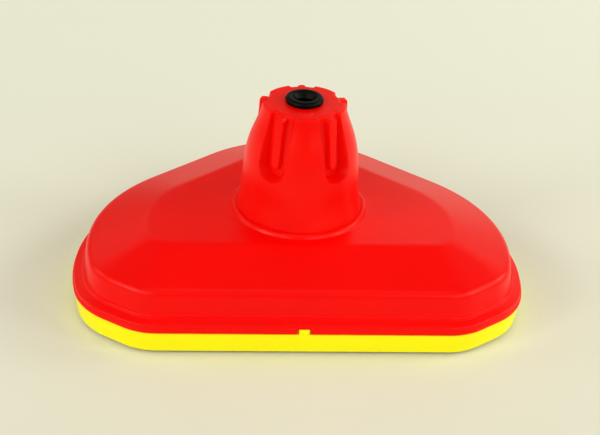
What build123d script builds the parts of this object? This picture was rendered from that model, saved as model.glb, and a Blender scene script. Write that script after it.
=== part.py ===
"""Manual vacuum head: a red moulded cover with a turning hose cone, on a yellow skirt and a brush plate.

Millimetres, +Z up, the straight long edge at -Y.
Pieces are drawn with the cone's axis at x = 0, y = 0 and moved to AXIS_Y when they are written.
"""
from math import cos, hypot, radians, sin
import os

from build123d import *

os.makedirs("parts", exist_ok=True)

# Plan outline of the cover's flange: corner points, anticlockwise from the front left.
CORNERS = [
    (-123.4, -118.6),
    (123.4, -118.6),
    (169.0, -87.7),
    (193.72, 20.2),
    (0.0, 193.1),
    (-193.72, 20.2),
    (-169.0, -87.7),
]
CORNER_RADII = [47.0, 47.0, 57.5, 148.0, 120.0, 148.0, 57.5]
LEAST_RADIUS = 20.0
CHAMFER_ENDS = 78.0
RADIUS_SHRINK = 1.2
FRONT_Y = -118.6
AXIS_Y = -16.86

# Heights above the floor.
SKIRT_BOTTOM = 2.8
PLATE_BOTTOM = 11.0
PLATE_TOP = 14.0
SHELF_TOP = 16.0
SEAM = 20.6
SKIRT_TOP = 19.9
RIM_TOP = 25.3
PLATEAU_UNDER = 61.2
RING_TOP = 57.1
RING_BOTTOM = 53.3
THROAT_TOP = 52.6
CONE_TOP = 155.0

# Cover sections as (inset from the outline, height).
COVER_OUTSIDE = [
    (0.4, SEAM),
    (0.0, 21.2),
    (0.0, 22.7),
    (0.9, 23.5),
    (1.2, 26.9),
    (2.1, 27.7),
    (7.3, 28.1),
    (7.8, 29.4),
    (8.6, 30.6),
    (9.8, 31.4),
    (11.3, 44.7),
    (11.8, 46.7),
    (12.8, 48.4),
    (14.3, 49.8),
    (16.1, 50.6),
    (54.6, 62.8),
    (57.4, 63.5),
    (60.4, 63.9),
    (66.0, 64.0),
]
COVER_INSIDE = [
    (2.8, SEAM - 1.0),
    (3.0, 25.3),
    (12.0, 25.5),
    (14.2, 45.0),
    (17.0, 47.7),
    (55.2, 59.7),
    (61.0, 60.9),
    (67.0, PLATEAU_UNDER),
]
COVER_MIDDLE = [
    (13.3, PLATE_TOP),
    (13.4, 45.5),
    (16.4, 48.6),
    (55.0, 61.2),
    (60.0, 62.3),
    (67.0, 62.6),
]
NOTCH_WIDE = 10.0
NOTCH_TALL = 3.8
TAB_WIDE = 8.4
TAB_TOP = 24.1

# Skirt sections, outside and the rim that locates the cover, as (inset from the outline, height).
SKIRT_OUTSIDE = [(3.8, SKIRT_BOTTOM), (2.7, 3.5), (2.4, 4.8), (1.2, SKIRT_TOP)]
SKIRT_RIM = [(3.2, SKIRT_TOP - 2.0), (3.5, RIM_TOP)]
SKIRT_INSET = 6.4
SHELF_INSET = 10.5
PLATE_INSET = 6.7

# Raised lip round the cone and the housing below it.
HOLE_R = 50.3
LIP_R = 54.8
HOUSING_R = (58.2, 67.0)
RING_SCREW_R = 62.5
RING_SCREWS = 6

# Cone: outside of the lobes, faces of the ribs, floors of the flutes and the inside, as (radius, height).
LOBES = [
    (50.1, 62.0),
    (49.9, 66.5),
    (49.3, 69.5),
    (47.9, 76.0),
    (46.6, 85.0),
    (46.0, 95.0),
    (45.3, 105.0),
    (44.5, 112.0),
    (43.5, 118.0),
    (42.1, 124.0),
    (40.2, 130.0),
    (37.9, 136.0),
    (36.1, 141.0),
    (34.4, 146.0),
    (33.2, 150.0),
    (32.3, 153.2),
    (30.6, CONE_TOP),
]
RIB_FACES = [
    (39.4, 104.0),
    (38.8, 111.0),
    (38.1, 117.5),
    (36.9, 127.5),
    (36.0, 137.0),
    (35.2, 146.0),
    (35.0, 151.6),
    (33.8, 153.4),
]
FLUTE_FLOORS = [
    (34.9, 100.0),
    (34.7, 106.0),
    (33.9, 118.0),
    (32.9, 128.0),
    (31.8, 136.0),
    (30.7, 143.0),
    (29.4, 150.0),
    (28.0, CONE_TOP + 1.0),
]
CONE_INSIDE = [
    (45.0, 57.0),
    (45.0, 66.0),
    (43.4, 84.0),
    (43.0, 95.0),
    (42.2, 105.0),
    (41.4, 112.0),
    (40.2, 118.0),
    (38.8, 124.0),
    (36.9, 130.0),
    (34.7, 136.0),
    (32.8, 141.0),
    (30.8, 146.0),
    (29.6, 150.0),
]
CONE_WALL = 2.7
FLUTES = 5
FLUTE_BOTTOM_R = 11.4
FLUTE_BOTTOM_Z = 115.6
FLUTE_TOP_WIDE = 20.4
RIB_BOTTOM_WIDE = 8.6
RIB_TOP_WIDE = 7.6
RIB_BOTTOM_Z = 112.2
CONE_FLANGE = (57.9, 60.7)
CONE_FLANGE_R = 57.6
O_RING_R = 53.0
O_RING_SECTION = 1.05

# Hose bush.
BUSH_BORE_R = 6.35
BUSH_HOLE_R = 11.2
BUSH_BOTTOM = 140.0
BUSH_TOP = 159.8

# Throat.
THROAT_R = (33.5, 36.8)

# Ballast and its straps.
BALLAST_AT = (92.0, -42.0)
BALLAST_SIZE = (76.0, 64.0, 15.0)
STRAP_THICK = 1.5
STRAP_WIDE = 14.0
STRAP_LEG_X = 40.2
STRAP_FOOT = 11.0
STRAP_HOLE_X = STRAP_LEG_X + (STRAP_THICK + STRAP_FOOT) / 2

# Screws between the cover and the plate, on the right half; the left half mirrors them.
PLATE_SCREWS = [(45.0, -88.0), (121.0, -88.0), (152.0, 0.0), (108.0, 60.0), (45.0, 115.0)]
BOSS_R = 4.5
PILOT_R = 1.9

# Brush strips as (length, centre x, centre y, angle).
BRUSH_WIDE = 11.0
BRUSH_RAIL_TALL = 3.6
BRUSHES = {
    "front": (210.0, 0.0, -103.0, 0.0),
    "right": (118.0, 93.0, 87.6, 138.3),
    "left": (118.0, -93.0, 87.6, 41.7),
}


def inset_corners(inset):
    """Return the outline's corners moved inwards by the same distance from every side."""
    moved = []
    count = len(CORNERS)
    for i in range(count):
        before = CORNERS[i - 1]
        here = CORNERS[i]
        after = CORNERS[(i + 1) % count]
        first = (here[0] - before[0], here[1] - before[1])
        second = (after[0] - here[0], after[1] - here[1])
        n1 = (-first[1] / hypot(*first), first[0] / hypot(*first))
        n2 = (-second[1] / hypot(*second), second[0] / hypot(*second))
        share = inset / (1.0 + n1[0] * n2[0] + n1[1] * n2[1])
        moved.append((here[0] + (n1[0] + n2[0]) * share, here[1] + (n1[1] + n2[1]) * share))
    return moved


def outline(inset, z):
    """Return the rounded plan outline as a face at height z."""
    points = inset_corners(inset)
    count = len(points)
    ends = []
    for i in range(count):
        radius = max(CORNER_RADII[i] - RADIUS_SHRINK * inset, min(LEAST_RADIUS, CHAMFER_ENDS - inset))
        here = Vector(*points[i])
        back = (Vector(*points[i - 1]) - here).normalized()
        ahead = (Vector(*points[(i + 1) % count]) - here).normalized()
        half = radians(back.get_angle(ahead)) / 2
        reach = radius * cos(half) / sin(half)
        middle = (back + ahead).normalized() * (radius / sin(half) - radius)
        ends.append((here + back * reach, here + middle, here + ahead * reach))
    edges = []
    for i in range(count):
        edges.append(Edge.make_line(ends[i - 1][2], ends[i][0]))
        edges.append(Edge.make_three_point_arc(*ends[i]))
    return Pos(0, 0, z) * Face(Wire(edges))


def banded(levels):
    """Return the solid that runs straight from each outline in levels to the next."""
    return loft([outline(inset, z) for inset, z in levels], ruled=True)


def turned(points):
    """Return the solid of revolution whose (radius, height) section is the closed polygon."""
    section = Plane.XZ * make_face(Polyline(*points, close=True))
    return revolve(section, Axis.Z)


def ring(inner, outer, bottom, top):
    """Return a flat ring round the cone's axis."""
    tube = Pos(0, 0, bottom) * extrude(Circle(outer) - Circle(inner), top - bottom)
    return tube


def post(x, y, radius, bottom, top):
    """Return an upright cylinder."""
    return Pos(x, y, bottom) * extrude(Circle(radius), top - bottom)


def both_sides(places):
    """Return the places with their mirror images."""
    return places + [(-x, y) for x, y in places]


def make_top_shell():
    """Red cover: flange, ledge, wall, sloped roof, flat top with the lip, and the screw bosses."""
    cover = banded(COVER_OUTSIDE)
    lip = turned([
        (HOLE_R - 4.0, 62.0),
        (HOLE_R - 4.0, 66.0),
        (50.5, 66.3),
        (51.3, 66.8),
        (52.6, 66.8),
        (53.5, 66.1),
        (54.1, 65.1),
        (LIP_R, 63.9),
        (LIP_R, 62.0),
    ])
    cover += lip
    cover -= banded(COVER_INSIDE)
    cover += ring(HOUSING_R[0] - 4.0, HOUSING_R[1], RING_TOP, PLATEAU_UNDER + 0.4)
    cover -= post(0, 0, HOUSING_R[0], RING_TOP - 1.0, PLATEAU_UNDER)
    bosses = banded(COVER_MIDDLE)
    posts = [post(x, y, BOSS_R, PLATE_TOP, 62.0) for x, y in both_sides(PLATE_SCREWS)]
    for boss in posts:
        cover += bosses & boss
    for x, y in both_sides(PLATE_SCREWS):
        cover -= post(x, y, PILOT_R, PLATE_TOP - 1.0, 32.0)
    for place in PolarLocations(RING_SCREW_R, RING_SCREWS, start_angle=30):
        cover -= place * Pos(0, 0, RING_TOP - 1.0) * extrude(Circle(1.4), 4.8)
    cover -= post(0, 0, HOLE_R, 40.0, 70.0)
    cover -= Pos(0, FRONT_Y, SEAM) * Box(NOTCH_WIDE, 8.0, 2 * NOTCH_TALL)
    return cover


def flute_cut(grow):
    """Return the volume of the front flute, grown sideways and inwards by the same distance."""
    half_low = FLUTE_BOTTOM_R + grow
    half_high = FLUTE_TOP_WIDE / 2 + grow
    top = CONE_TOP + 2.0
    sides = Polyline(
        (half_low, FLUTE_BOTTOM_Z),
        (half_high, top),
        (-half_high, top),
        (-half_low, FLUTE_BOTTOM_Z),
    )
    bottom = ThreePointArc(
        (-half_low, FLUTE_BOTTOM_Z),
        (0, FLUTE_BOTTOM_Z - half_low),
        (half_low, FLUTE_BOTTOM_Z),
    )
    upright = extrude(Plane.XZ * make_face(sides + bottom), 60.0)
    floors = [(radius - grow, z) for radius, z in FLUTE_FLOORS]
    return turned(floors + [(70.0, CONE_TOP + 1.0), (70.0, FLUTE_FLOORS[0][1])]) & upright


def rib_outline():
    """Return the upright strip of one rib, round at its lower end."""
    half_low = RIB_BOTTOM_WIDE / 2
    half_high = RIB_TOP_WIDE / 2
    low = RIB_BOTTOM_Z + half_low
    high = RIB_FACES[-1][1]
    sides = Polyline((half_low, low), (half_high, high), (-half_high, high), (-half_low, low))
    bottom = ThreePointArc((-half_low, low), (0, RIB_BOTTOM_Z), (half_low, low))
    return Plane.XZ * make_face(sides + bottom)


def make_swivel_cone():
    """Red hose cone with five fluted recesses, a rib in each, and a bearing flange at its foot."""
    cone = turned(LOBES + [(0.0, CONE_TOP), (0.0, 62.0)])
    inside = turned(CONE_INSIDE + [(0.0, 150.0), (0.0, 57.0)])
    faces = turned(RIB_FACES + [(0.0, 153.4), (0.0, 104.0)])
    flute = flute_cut(0.0)
    bulge = flute_cut(CONE_WALL)
    rib = faces & extrude(rib_outline(), 60.0)
    for i in range(FLUTES):
        turn = Rot(0, 0, 36.0 + i * 360.0 / FLUTES)
        cone -= turn * flute
        cone += turn * rib
        inside -= turn * bulge
    cone += post(0, 0, LOBES[0][0], CONE_FLANGE[0], 62.5)
    cone += ring(40.0, CONE_FLANGE_R, CONE_FLANGE[0], CONE_FLANGE[1])
    cone -= ring(51.7, 54.3, CONE_FLANGE[1] - 1.7, CONE_FLANGE[1] + 1.0)
    cone -= inside
    cone -= post(0, 0, BUSH_HOLE_R, 145.0, 160.0)
    return cone


def make_hose_bush():
    """Black rubber bush with a funnel mouth and a straight bore that grips the hose tail."""
    return turned([
        (BUSH_BORE_R, BUSH_BOTTOM),
        (BUSH_BORE_R, 154.6),
        (6.9, 156.5),
        (7.8, 157.9),
        (9.1, 159.0),
        (10.6, 159.6),
        (12.0, BUSH_TOP),
        (13.3, 159.4),
        (14.4, 158.5),
        (14.9, 157.2),
        (14.7, 156.0),
        (14.0, CONE_TOP),
        (BUSH_HOLE_R - 0.05, CONE_TOP),
        (BUSH_HOLE_R - 0.05, 150.0),
        (13.6, 150.0),
        (12.6, 146.5),
        (10.4, 146.0),
        (10.0, BUSH_BOTTOM),
    ])


def make_cone_o_ring():
    """Rubber O-ring in the groove of the cone's flange."""
    height = CONE_FLANGE[1] - 1.7 + O_RING_SECTION
    return Pos(0, 0, height) * Torus(O_RING_R, O_RING_SECTION)


def make_thrust_washer():
    """Thin washer the cone turns on."""
    return ring(48.5, 57.4, RING_TOP, RING_TOP + 0.6)


def make_retaining_ring():
    """Ring screwed under the housing that holds the cone up in the cover."""
    body = ring(47.2, HOUSING_R[1], RING_BOTTOM, RING_TOP)
    for place in PolarLocations(RING_SCREW_R, RING_SCREWS, start_angle=30):
        body -= place * Pos(0, 0, RING_BOTTOM - 1.0) * extrude(Circle(1.7), 6.0)
    return body


def screw_up(x, y, seat, head_r, head_tall, shank_r, shank_long):
    """Return one pan-head screw driven upwards, its head below the seat height."""
    head = post(x, y, head_r, seat - head_tall, seat)
    head = chamfer(head.edges().filter_by(GeomType.CIRCLE).sort_by(Axis.Z)[0], head_tall * 0.35)
    slot_one = Pos(x, y, seat - head_tall) * Box(head_r * 1.1, 0.8, 1.6)
    slot_two = Pos(x, y, seat - head_tall) * Box(0.8, head_r * 1.1, 1.6)
    shank = post(x, y, shank_r, seat - 0.3, seat + shank_long)
    return head - slot_one - slot_two + shank


def make_retaining_screws():
    """Six small screws through the retaining ring."""
    group = []
    for place in PolarLocations(RING_SCREW_R, RING_SCREWS, start_angle=30):
        spot = place.position
        group.append(screw_up(spot.X, spot.Y, RING_BOTTOM, 2.8, 2.0, 1.35, 7.2))
    return group


def make_throat():
    """Black tube that leads from the underside up to the turning cone."""
    tube = ring(THROAT_R[0], THROAT_R[1], PLATE_BOTTOM, THROAT_TOP)
    tube += ring(THROAT_R[0], 43.0, PLATE_TOP, PLATE_TOP + 2.5)
    tube += ring(THROAT_R[0], 45.0, THROAT_TOP - 2.6, THROAT_TOP)
    return tube


def make_throat_gasket():
    """Rubber lip ring between the throat and the cone's flange."""
    return turned([
        (38.0, THROAT_TOP),
        (44.5, THROAT_TOP),
        (44.5, THROAT_TOP + 2.0),
        (42.0, 57.7),
        (40.5, 57.7),
        (38.0, THROAT_TOP + 2.0),
    ])


def make_base_skirt():
    """Yellow skirt with the rim that locates the cover, an inner shelf over the plate and a snap tab."""
    skirt = banded(SKIRT_OUTSIDE) + banded(SKIRT_RIM)
    skirt -= banded([(SKIRT_INSET, 0.0), (SKIRT_INSET, PLATE_TOP)])
    skirt -= banded([(SHELF_INSET, PLATE_TOP - 1.0), (SHELF_INSET, SHELF_TOP + 1.0)])
    skirt -= banded([(SKIRT_INSET, SHELF_TOP), (SKIRT_INSET, RIM_TOP + 4.0)])
    deep = 3.6
    low = SEAM - 2.0
    tab = Box(TAB_WIDE, deep, TAB_TOP - low, align=(Align.CENTER, Align.MIN, Align.MIN))
    return skirt + Pos(0, FRONT_Y + 0.9, low) * tab


def make_base_plate():
    """Black plate under the head, with the throat hole, screw holes and fences round the ballast."""
    plate = banded([(PLATE_INSET, PLATE_BOTTOM), (PLATE_INSET, PLATE_TOP)])
    plate -= post(0, 0, THROAT_R[1] + 0.2, 0.0, 30.0)
    for side in (-1, 1):
        wall = RectangleRounded(BALLAST_SIZE[0] + 5.0, BALLAST_SIZE[1] + 5.0, 14.0)
        wall -= RectangleRounded(BALLAST_SIZE[0] + 1.0, BALLAST_SIZE[1] + 1.0, 12.0)
        fence = extrude(wall, 6.4) - Pos(0, 0, 5.0) * Box(120.0, STRAP_WIDE + 2.0, 9.9)
        plate += Pos(side * BALLAST_AT[0], BALLAST_AT[1], PLATE_TOP - 0.4) * fence
        for step in (-1, 1):
            x = side * BALLAST_AT[0] + step * STRAP_HOLE_X
            plate -= post(x, BALLAST_AT[1], 1.6, 5.0, 20.0)
    for x, y in both_sides(PLATE_SCREWS):
        plate -= post(x, y, 2.3, 5.0, 20.0)
    return plate


def make_plate_screws():
    """Ten screws from below through the plate into the cover's bosses."""
    places = both_sides(PLATE_SCREWS)
    group = [screw_up(x, y, PLATE_BOTTOM, 3.6, 2.5, 1.85, 14.0) for x, y in places]
    return group


def make_ballast(side):
    """Cast block that holds the head down under water."""
    x, y = BALLAST_AT
    block = extrude(RectangleRounded(BALLAST_SIZE[0], BALLAST_SIZE[1], 12.0), BALLAST_SIZE[2])
    block = chamfer(block.faces().sort_by(Axis.Z)[-1].edges(), 1.5)
    return Pos(side * x, y, PLATE_TOP) * block


def make_ballast_strap(side):
    """Bent steel strap over one ballast block, with a foot at each end."""
    x, y = BALLAST_AT
    top = PLATE_TOP + BALLAST_SIZE[2]
    leg = STRAP_LEG_X
    thick = STRAP_THICK
    profile = Polyline(
        (-leg - STRAP_FOOT, PLATE_TOP),
        (-leg, PLATE_TOP),
        (-leg, top),
        (leg, top),
        (leg, PLATE_TOP),
        (leg + STRAP_FOOT, PLATE_TOP),
        (leg + STRAP_FOOT, PLATE_TOP + thick),
        (leg + thick, PLATE_TOP + thick),
        (leg + thick, top + thick),
        (-leg - thick, top + thick),
        (-leg - thick, PLATE_TOP + thick),
        (-leg - STRAP_FOOT, PLATE_TOP + thick),
        close=True,
    )
    strap = extrude(Plane.XZ * make_face(profile), STRAP_WIDE / 2, both=True)
    for step in (-1, 1):
        strap -= post(step * STRAP_HOLE_X, 0, 1.8, PLATE_TOP - 1.0, PLATE_TOP + 3.0)
    return Pos(side * x, y, 0) * strap


def make_ballast_screws():
    """Four screws that hold the straps to the plate, driven down from above."""
    group = []
    for side in (-1, 1):
        for step in (-1, 1):
            x = side * BALLAST_AT[0] + step * STRAP_HOLE_X
            seat = PLATE_TOP + STRAP_THICK
            head = post(x, BALLAST_AT[1], 3.0, seat, seat + 2.0)
            head -= Pos(x, BALLAST_AT[1], seat + 2.0) * Box(3.4, 0.8, 1.6)
            shank = post(x, BALLAST_AT[1], 1.3, PLATE_BOTTOM + 0.3, seat + 0.3)
            group.append(head + shank)
    return group


def make_brush_rail(length, x, y, angle):
    """Backing strip of one brush, seated against the underside of the plate."""
    strip = extrude(Rectangle(length, BRUSH_WIDE), -BRUSH_RAIL_TALL)
    strip = chamfer(strip.faces().sort_by(Axis.Z)[0].edges(), 0.8)
    return Pos(x, y, PLATE_BOTTOM) * Rot(0, 0, angle) * strip


def make_bristles(length, x, y, angle):
    """Block of bristles of one brush, down to the floor."""
    tall = PLATE_BOTTOM - BRUSH_RAIL_TALL
    block = extrude(Rectangle(length - 5.0, BRUSH_WIDE - 4.0), tall)
    return Pos(x, y, 0) * Rot(0, 0, angle) * block


def write(shape, name):
    """Move a piece, or each piece of a group, to its place in the shared frame and write it."""
    group = shape if isinstance(shape, list) else [shape]
    solids = [(Pos(0, AXIS_Y, 0) * one).solid() for one in group]
    export_step(solids[0] if len(solids) == 1 else Compound(solids), "parts/" + name + ".step")


write(make_top_shell(), "top_shell")
write(make_swivel_cone(), "swivel_cone")
write(make_hose_bush(), "hose_bush")
write(make_cone_o_ring(), "cone_o_ring")
write(make_thrust_washer(), "thrust_washer")
write(make_retaining_ring(), "retaining_ring")
write(make_retaining_screws(), "retaining_screws")
write(make_throat(), "throat")
write(make_throat_gasket(), "throat_gasket")
write(make_base_skirt(), "base_skirt")
write(make_base_plate(), "base_plate")
write(make_plate_screws(), "plate_screws")
write(make_ballast(-1), "ballast_left")
write(make_ballast(1), "ballast_right")
write(make_ballast_strap(-1), "ballast_strap_left")
write(make_ballast_strap(1), "ballast_strap_right")
write(make_ballast_screws(), "ballast_screws")
for brush_name, brush_place in BRUSHES.items():
    write(make_brush_rail(*brush_place), "brush_rail_" + brush_name)
    write(make_bristles(*brush_place), "bristles_" + brush_name)
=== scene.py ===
"""Manual vacuum head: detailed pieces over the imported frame, laid out as an add-on and run as a script."""

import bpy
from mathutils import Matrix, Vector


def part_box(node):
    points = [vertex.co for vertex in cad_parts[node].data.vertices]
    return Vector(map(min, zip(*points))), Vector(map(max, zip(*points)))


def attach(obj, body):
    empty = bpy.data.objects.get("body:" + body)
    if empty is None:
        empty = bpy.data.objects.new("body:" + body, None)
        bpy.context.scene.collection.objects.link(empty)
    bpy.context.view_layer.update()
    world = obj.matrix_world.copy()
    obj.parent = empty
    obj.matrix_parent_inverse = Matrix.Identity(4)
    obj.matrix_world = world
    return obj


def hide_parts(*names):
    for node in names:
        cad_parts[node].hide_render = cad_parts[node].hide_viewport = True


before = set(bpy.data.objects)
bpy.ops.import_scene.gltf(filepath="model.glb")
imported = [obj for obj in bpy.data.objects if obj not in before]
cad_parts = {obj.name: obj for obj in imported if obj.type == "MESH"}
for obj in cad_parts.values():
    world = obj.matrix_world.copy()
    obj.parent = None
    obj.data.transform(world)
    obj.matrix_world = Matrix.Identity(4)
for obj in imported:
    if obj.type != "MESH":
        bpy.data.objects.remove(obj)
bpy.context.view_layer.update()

from math import atan2, cos, hypot, pi, radians, sin, tan

import bmesh
import bpy
import numpy as np
from bpy.props import FloatProperty, FloatVectorProperty, IntProperty, PointerProperty
from mathutils import Matrix, Vector

bl_info = {
    "name": "Manual Vacuum Head",
    "version": (1, 0, 0),
    "blender": (4, 5, 0),
    "location": "3D View > Sidebar > Vacuum Head",
    "description": "Builds the cover, skirt, hose cone, bush, brushes and screws of a manual vacuum head",
    "category": "Object",
}

# Lengths in the drawing functions are millimetres, measured from the cone's axis and the floor.
MM = 0.001
BUSH_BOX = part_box("hose_bush")
AXIS_Y = (BUSH_BOX[0].y + BUSH_BOX[1].y) / 2 / MM
CONE_TOP = 155.0
FLAT_TOP = 64.0

# The flange's plan: corners anticlockwise from the front right, each with its rounding; the left mirrors the right.
RIGHT_CORNERS = [(123.4, -118.6, 47.0), (169.0, -87.7, 57.5), (193.72, 20.2, 148.0)]
CORNERS = [*RIGHT_CORNERS, (0.0, 193.1, 120.0), *((-x, y, rounding) for x, y, rounding in reversed(RIGHT_CORNERS))]
FRONT_Y = RIGHT_CORNERS[0][1]
# Further in, each rounding shrinks to the least one, and that runs out at the last inset.
ROUNDING_SHRINK = 1.2
LEAST_ROUNDING = 20.0
DEEPEST_INSET = 76.0
LAST_INSET = 78.0

# Lobes of the cone between the flutes, flute floors and rib faces, as (height, radius).
LOBES = [
    (56.0, 50.1), (62.0, 50.15), (66.8, 50.1), (69.5, 49.5), (76.0, 47.9), (85.0, 46.6), (95.0, 46.0), (105.0, 45.2),
    (112.0, 44.4), (118.0, 43.4), (124.0, 42.0), (130.0, 40.2), (136.0, 38.0), (141.0, 36.1),
    (146.0, 34.3), (150.0, 33.1), (155.0, 31.9),
]
FLUTE_FLOORS = [
    (100.0, 34.9), (106.0, 34.7), (118.0, 33.9), (128.0, 32.9), (136.0, 31.8), (143.0, 30.7), (150.0, 29.4),
    (156.0, 28.0),
]
RIB_FACES = [
    (104.0, 39.4), (111.0, 38.8), (117.5, 38.1), (127.5, 36.9), (137.0, 36.0), (146.0, 35.2), (151.6, 35.0),
    (156.0, 34.8),
]

# Screw seats under the plate, on the right half; the left half mirrors them.
PLATE_SCREWS = [(45.0, -88.0), (121.0, -88.0), (152.0, 0.0), (108.0, 60.0), (45.0, 115.0)]
BALLAST_X = 92.0
BALLAST_Y = -42.0
STRAP_HOLE_X = 46.45
PLATE_BOTTOM = 11.0
PLATE_TOP = 14.0
STRAP_THICK = 1.5
RING_BOTTOM = 53.3
RING_SCREWS_RADIUS = 62.5

# What sizes a screw; its crown and the sides of its slots are shares of the head's radius.
SCREW_SIZES = ("Head Radius", "Head Height", "Shank Radius", "Shank Length")
CROWN, SLOT_LONG, SLOT_WIDE = 0.74, 1.1, 0.24

# Brushes as (length, centre x, centre y, angle in degrees).
BRUSHES = {
    "front": (205.0, 0.0, -103.0, 0.0),
    "right": (113.0, 93.0, 87.6, 138.3),
    "left": (113.0, -93.0, 87.6, 41.7),
}
BRISTLE_ROOTS = 7.4

# Softboxes as (name, turn from the front, rise, distance, width, height, power), in degrees, metres and watts.
LAMP_COLOUR = "#FFFFE7"
SOFTBOXES = (
    ("front softbox, left", -32.0, 30.0, 3.5, 1.8, 1.8, 24.0),
    ("front softbox, right", 32.0, 30.0, 3.5, 1.8, 1.8, 24.0),
    ("side softbox, left", -60.0, 26.0, 3.5, 0.9, 1.6, 36.0),
    ("side softbox, right", 68.0, 26.0, 3.5, 0.9, 1.6, 31.0),
    ("left softbox", -100.0, 26.0, 3.5, 1.4, 1.4, 18.0),
    ("right softbox", 100.0, 26.0, 3.5, 1.4, 1.4, 36.0),
    ("back left softbox", -150.0, 33.0, 4.5, 3.0, 2.0, 10.0),
    ("back right softbox", 150.0, 33.0, 4.5, 3.0, 2.0, 16.0),
    ("low back softbox", 165.0, 9.0, 4.5, 4.0, 1.3, 12.0),
    ("overhead softbox", 0.0, 80.0, 3.5, 2.4, 2.4, 12.0),
)


def linear(code):
    """Turn an sRGB hex colour into a linear RGBA one."""
    parts = [int(code[i:i + 2], 16) / 255 for i in (1, 3, 5)]
    return [p / 12.92 if p <= 0.04045 else ((p + 0.055) / 1.055) ** 2.4 for p in parts] + [1.0]


# ---------------- drawing

def rounded_path(points, turn=12.0):
    """Return an open line through (a, b, rounding) points, each rounded corner cut into steps of turn degrees."""
    line = []
    for i, (a, b, rounding) in enumerate(points):
        if rounding <= 0 or i in (0, len(points) - 1):
            line.append((a, b))
            continue
        here = Vector((a, b))
        back = (Vector(points[i - 1][:2]) - here).normalized()
        ahead = (Vector(points[i + 1][:2]) - here).normalized()
        half = back.angle(ahead) / 2
        centre = here + (back + ahead).normalized() * (rounding / sin(half))
        start = here + back * (rounding / tan(half)) - centre
        end = here + ahead * (rounding / tan(half)) - centre
        sweep = atan2(start.x * end.y - start.y * end.x, start.dot(end))
        steps = max(2, int(abs(sweep) / radians(turn)) + 1)
        for k in range(steps + 1):
            angle = sweep * k / steps
            line.append((
                centre.x + start.x * cos(angle) - start.y * sin(angle),
                centre.y + start.x * sin(angle) + start.y * cos(angle),
            ))
    return line


def inset_corners(inset):
    """Return the plan's corners moved inwards by the same distance from every side."""
    moved = []
    count = len(CORNERS)
    for i in range(count):
        before, here, after = (Vector(CORNERS[(i + k) % count][:2]) for k in (-1, 0, 1))
        first = (here - before).normalized()
        second = (after - here).normalized()
        n1 = Vector((-first.y, first.x))
        n2 = Vector((-second.y, second.x))
        moved.append(here + (n1 + n2) * (inset / (1 + n1.dot(n2))))
    return moved


def plan(inset, turn=1.0, stride=1.5):
    """Return the rounded plan outline at an inset as points, closely spaced."""
    corners = inset_corners(inset)
    count = len(corners)
    least = min(LEAST_ROUNDING, LAST_INSET - inset)
    paths = []
    for i in range(count):
        rounding = max(CORNERS[i][2] - ROUNDING_SHRINK * inset, least)
        before, here, after = corners[i - 1], corners[i], corners[(i + 1) % count]
        paths.append(rounded_path([(*before, 0), (*here, rounding), (*after, 0)], turn)[1:-1])
    points = []
    for path, following in zip(paths, paths[1:] + paths[:1]):
        last = Vector(path[-1])
        gap = Vector(following[0]) - last
        steps = max(1, int(gap.length / stride))
        points += path + [tuple(last + gap * (k / steps)) for k in range(1, steps)]
    return np.array(points)


def reach(inset, angles):
    """Return how far the plan outline at an inset is from the axis, along each angle."""
    points = plan(inset)
    around = np.arctan2(points[:, 1], points[:, 0])
    order = np.argsort(around)
    return np.interp(angles, around[order], np.hypot(*points.T)[order], period=2 * pi)


def column_angles(extra_x=()):
    """Return the angles of the plan's columns, with a column at each extra x along the front."""
    clear = 2.5
    points = plan(0.0, turn=2.5, stride=7.0)
    keep = [p for p in points if p[1] >= FRONT_Y + 0.01 or all(abs(p[0] - x) >= clear for x in extra_x)]
    keep += [(x, FRONT_Y) for x in extra_x]
    return np.sort([atan2(p[1], p[0]) for p in keep])


def ring_row(angles, radii, heights):
    """Return one row of points at the given angles."""
    heights = np.broadcast_to(heights, angles.shape)
    radii = np.broadcast_to(radii, angles.shape)
    return np.stack([radii * np.cos(angles), radii * np.sin(angles), heights], 1)


def between(start, end, steps):
    """Return the evenly spaced values after start, up to end."""
    return [start + (end - start) * k / steps for k in range(1, steps + 1)]


def closed_loop(rows):
    """Return (points, faces) of rows of points joined into a closed ring of rings."""
    points = np.concatenate(rows)
    count = len(rows)
    width = len(rows[0])
    faces = []
    for r in range(count):
        for c in range(width):
            after_r = (r + 1) % count
            after_c = (c + 1) % width
            faces.append((r * width + c, r * width + after_c, after_r * width + after_c, after_r * width + c))
    return points, faces


def turned_loop(path, steps):
    """Return (points, faces) of a closed (radius, height) path turned about the axis in steps."""
    angles = np.arange(steps) * 2 * pi / steps
    return closed_loop([ring_row(angles, radius, height) for radius, height in path])


def soft_box(centre, size, rounding):
    """Return (points, faces) of a box with rounded edges."""
    shape = bmesh.new()
    bmesh.ops.create_cube(shape, size=1.0)
    bmesh.ops.scale(shape, vec=size, verts=shape.verts)
    bmesh.ops.bevel(shape, geom=shape.edges[:], offset=rounding, segments=3, profile=0.5, affect="EDGES")
    points = np.array([tuple(v.co + Vector(centre)) for v in shape.verts])
    faces = [tuple(v.index for v in face.verts) for face in shape.faces]
    shape.free()
    return points, faces


def tube(x, y, inner, outer, low, high):
    """Return (points, faces) of an upright tube away from the axis."""
    edge = 0.4
    path = [(inner, low), (outer - edge, low), (outer, low + edge), (outer, high), (inner, high)]
    points, faces = turned_loop(path, 32)
    return points + np.array([x, y, 0.0]), faces


def settle(name, mesh, sharp, body, node):
    """Smooth a mesh and make it an object on its body, in place of a node."""
    mesh.shade_smooth()
    mesh.set_sharp_from_angle(angle=radians(sharp))
    piece = bpy.data.objects.new(name, mesh)
    bpy.context.scene.collection.objects.link(piece)
    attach(piece, body)
    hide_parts(node)


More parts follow.
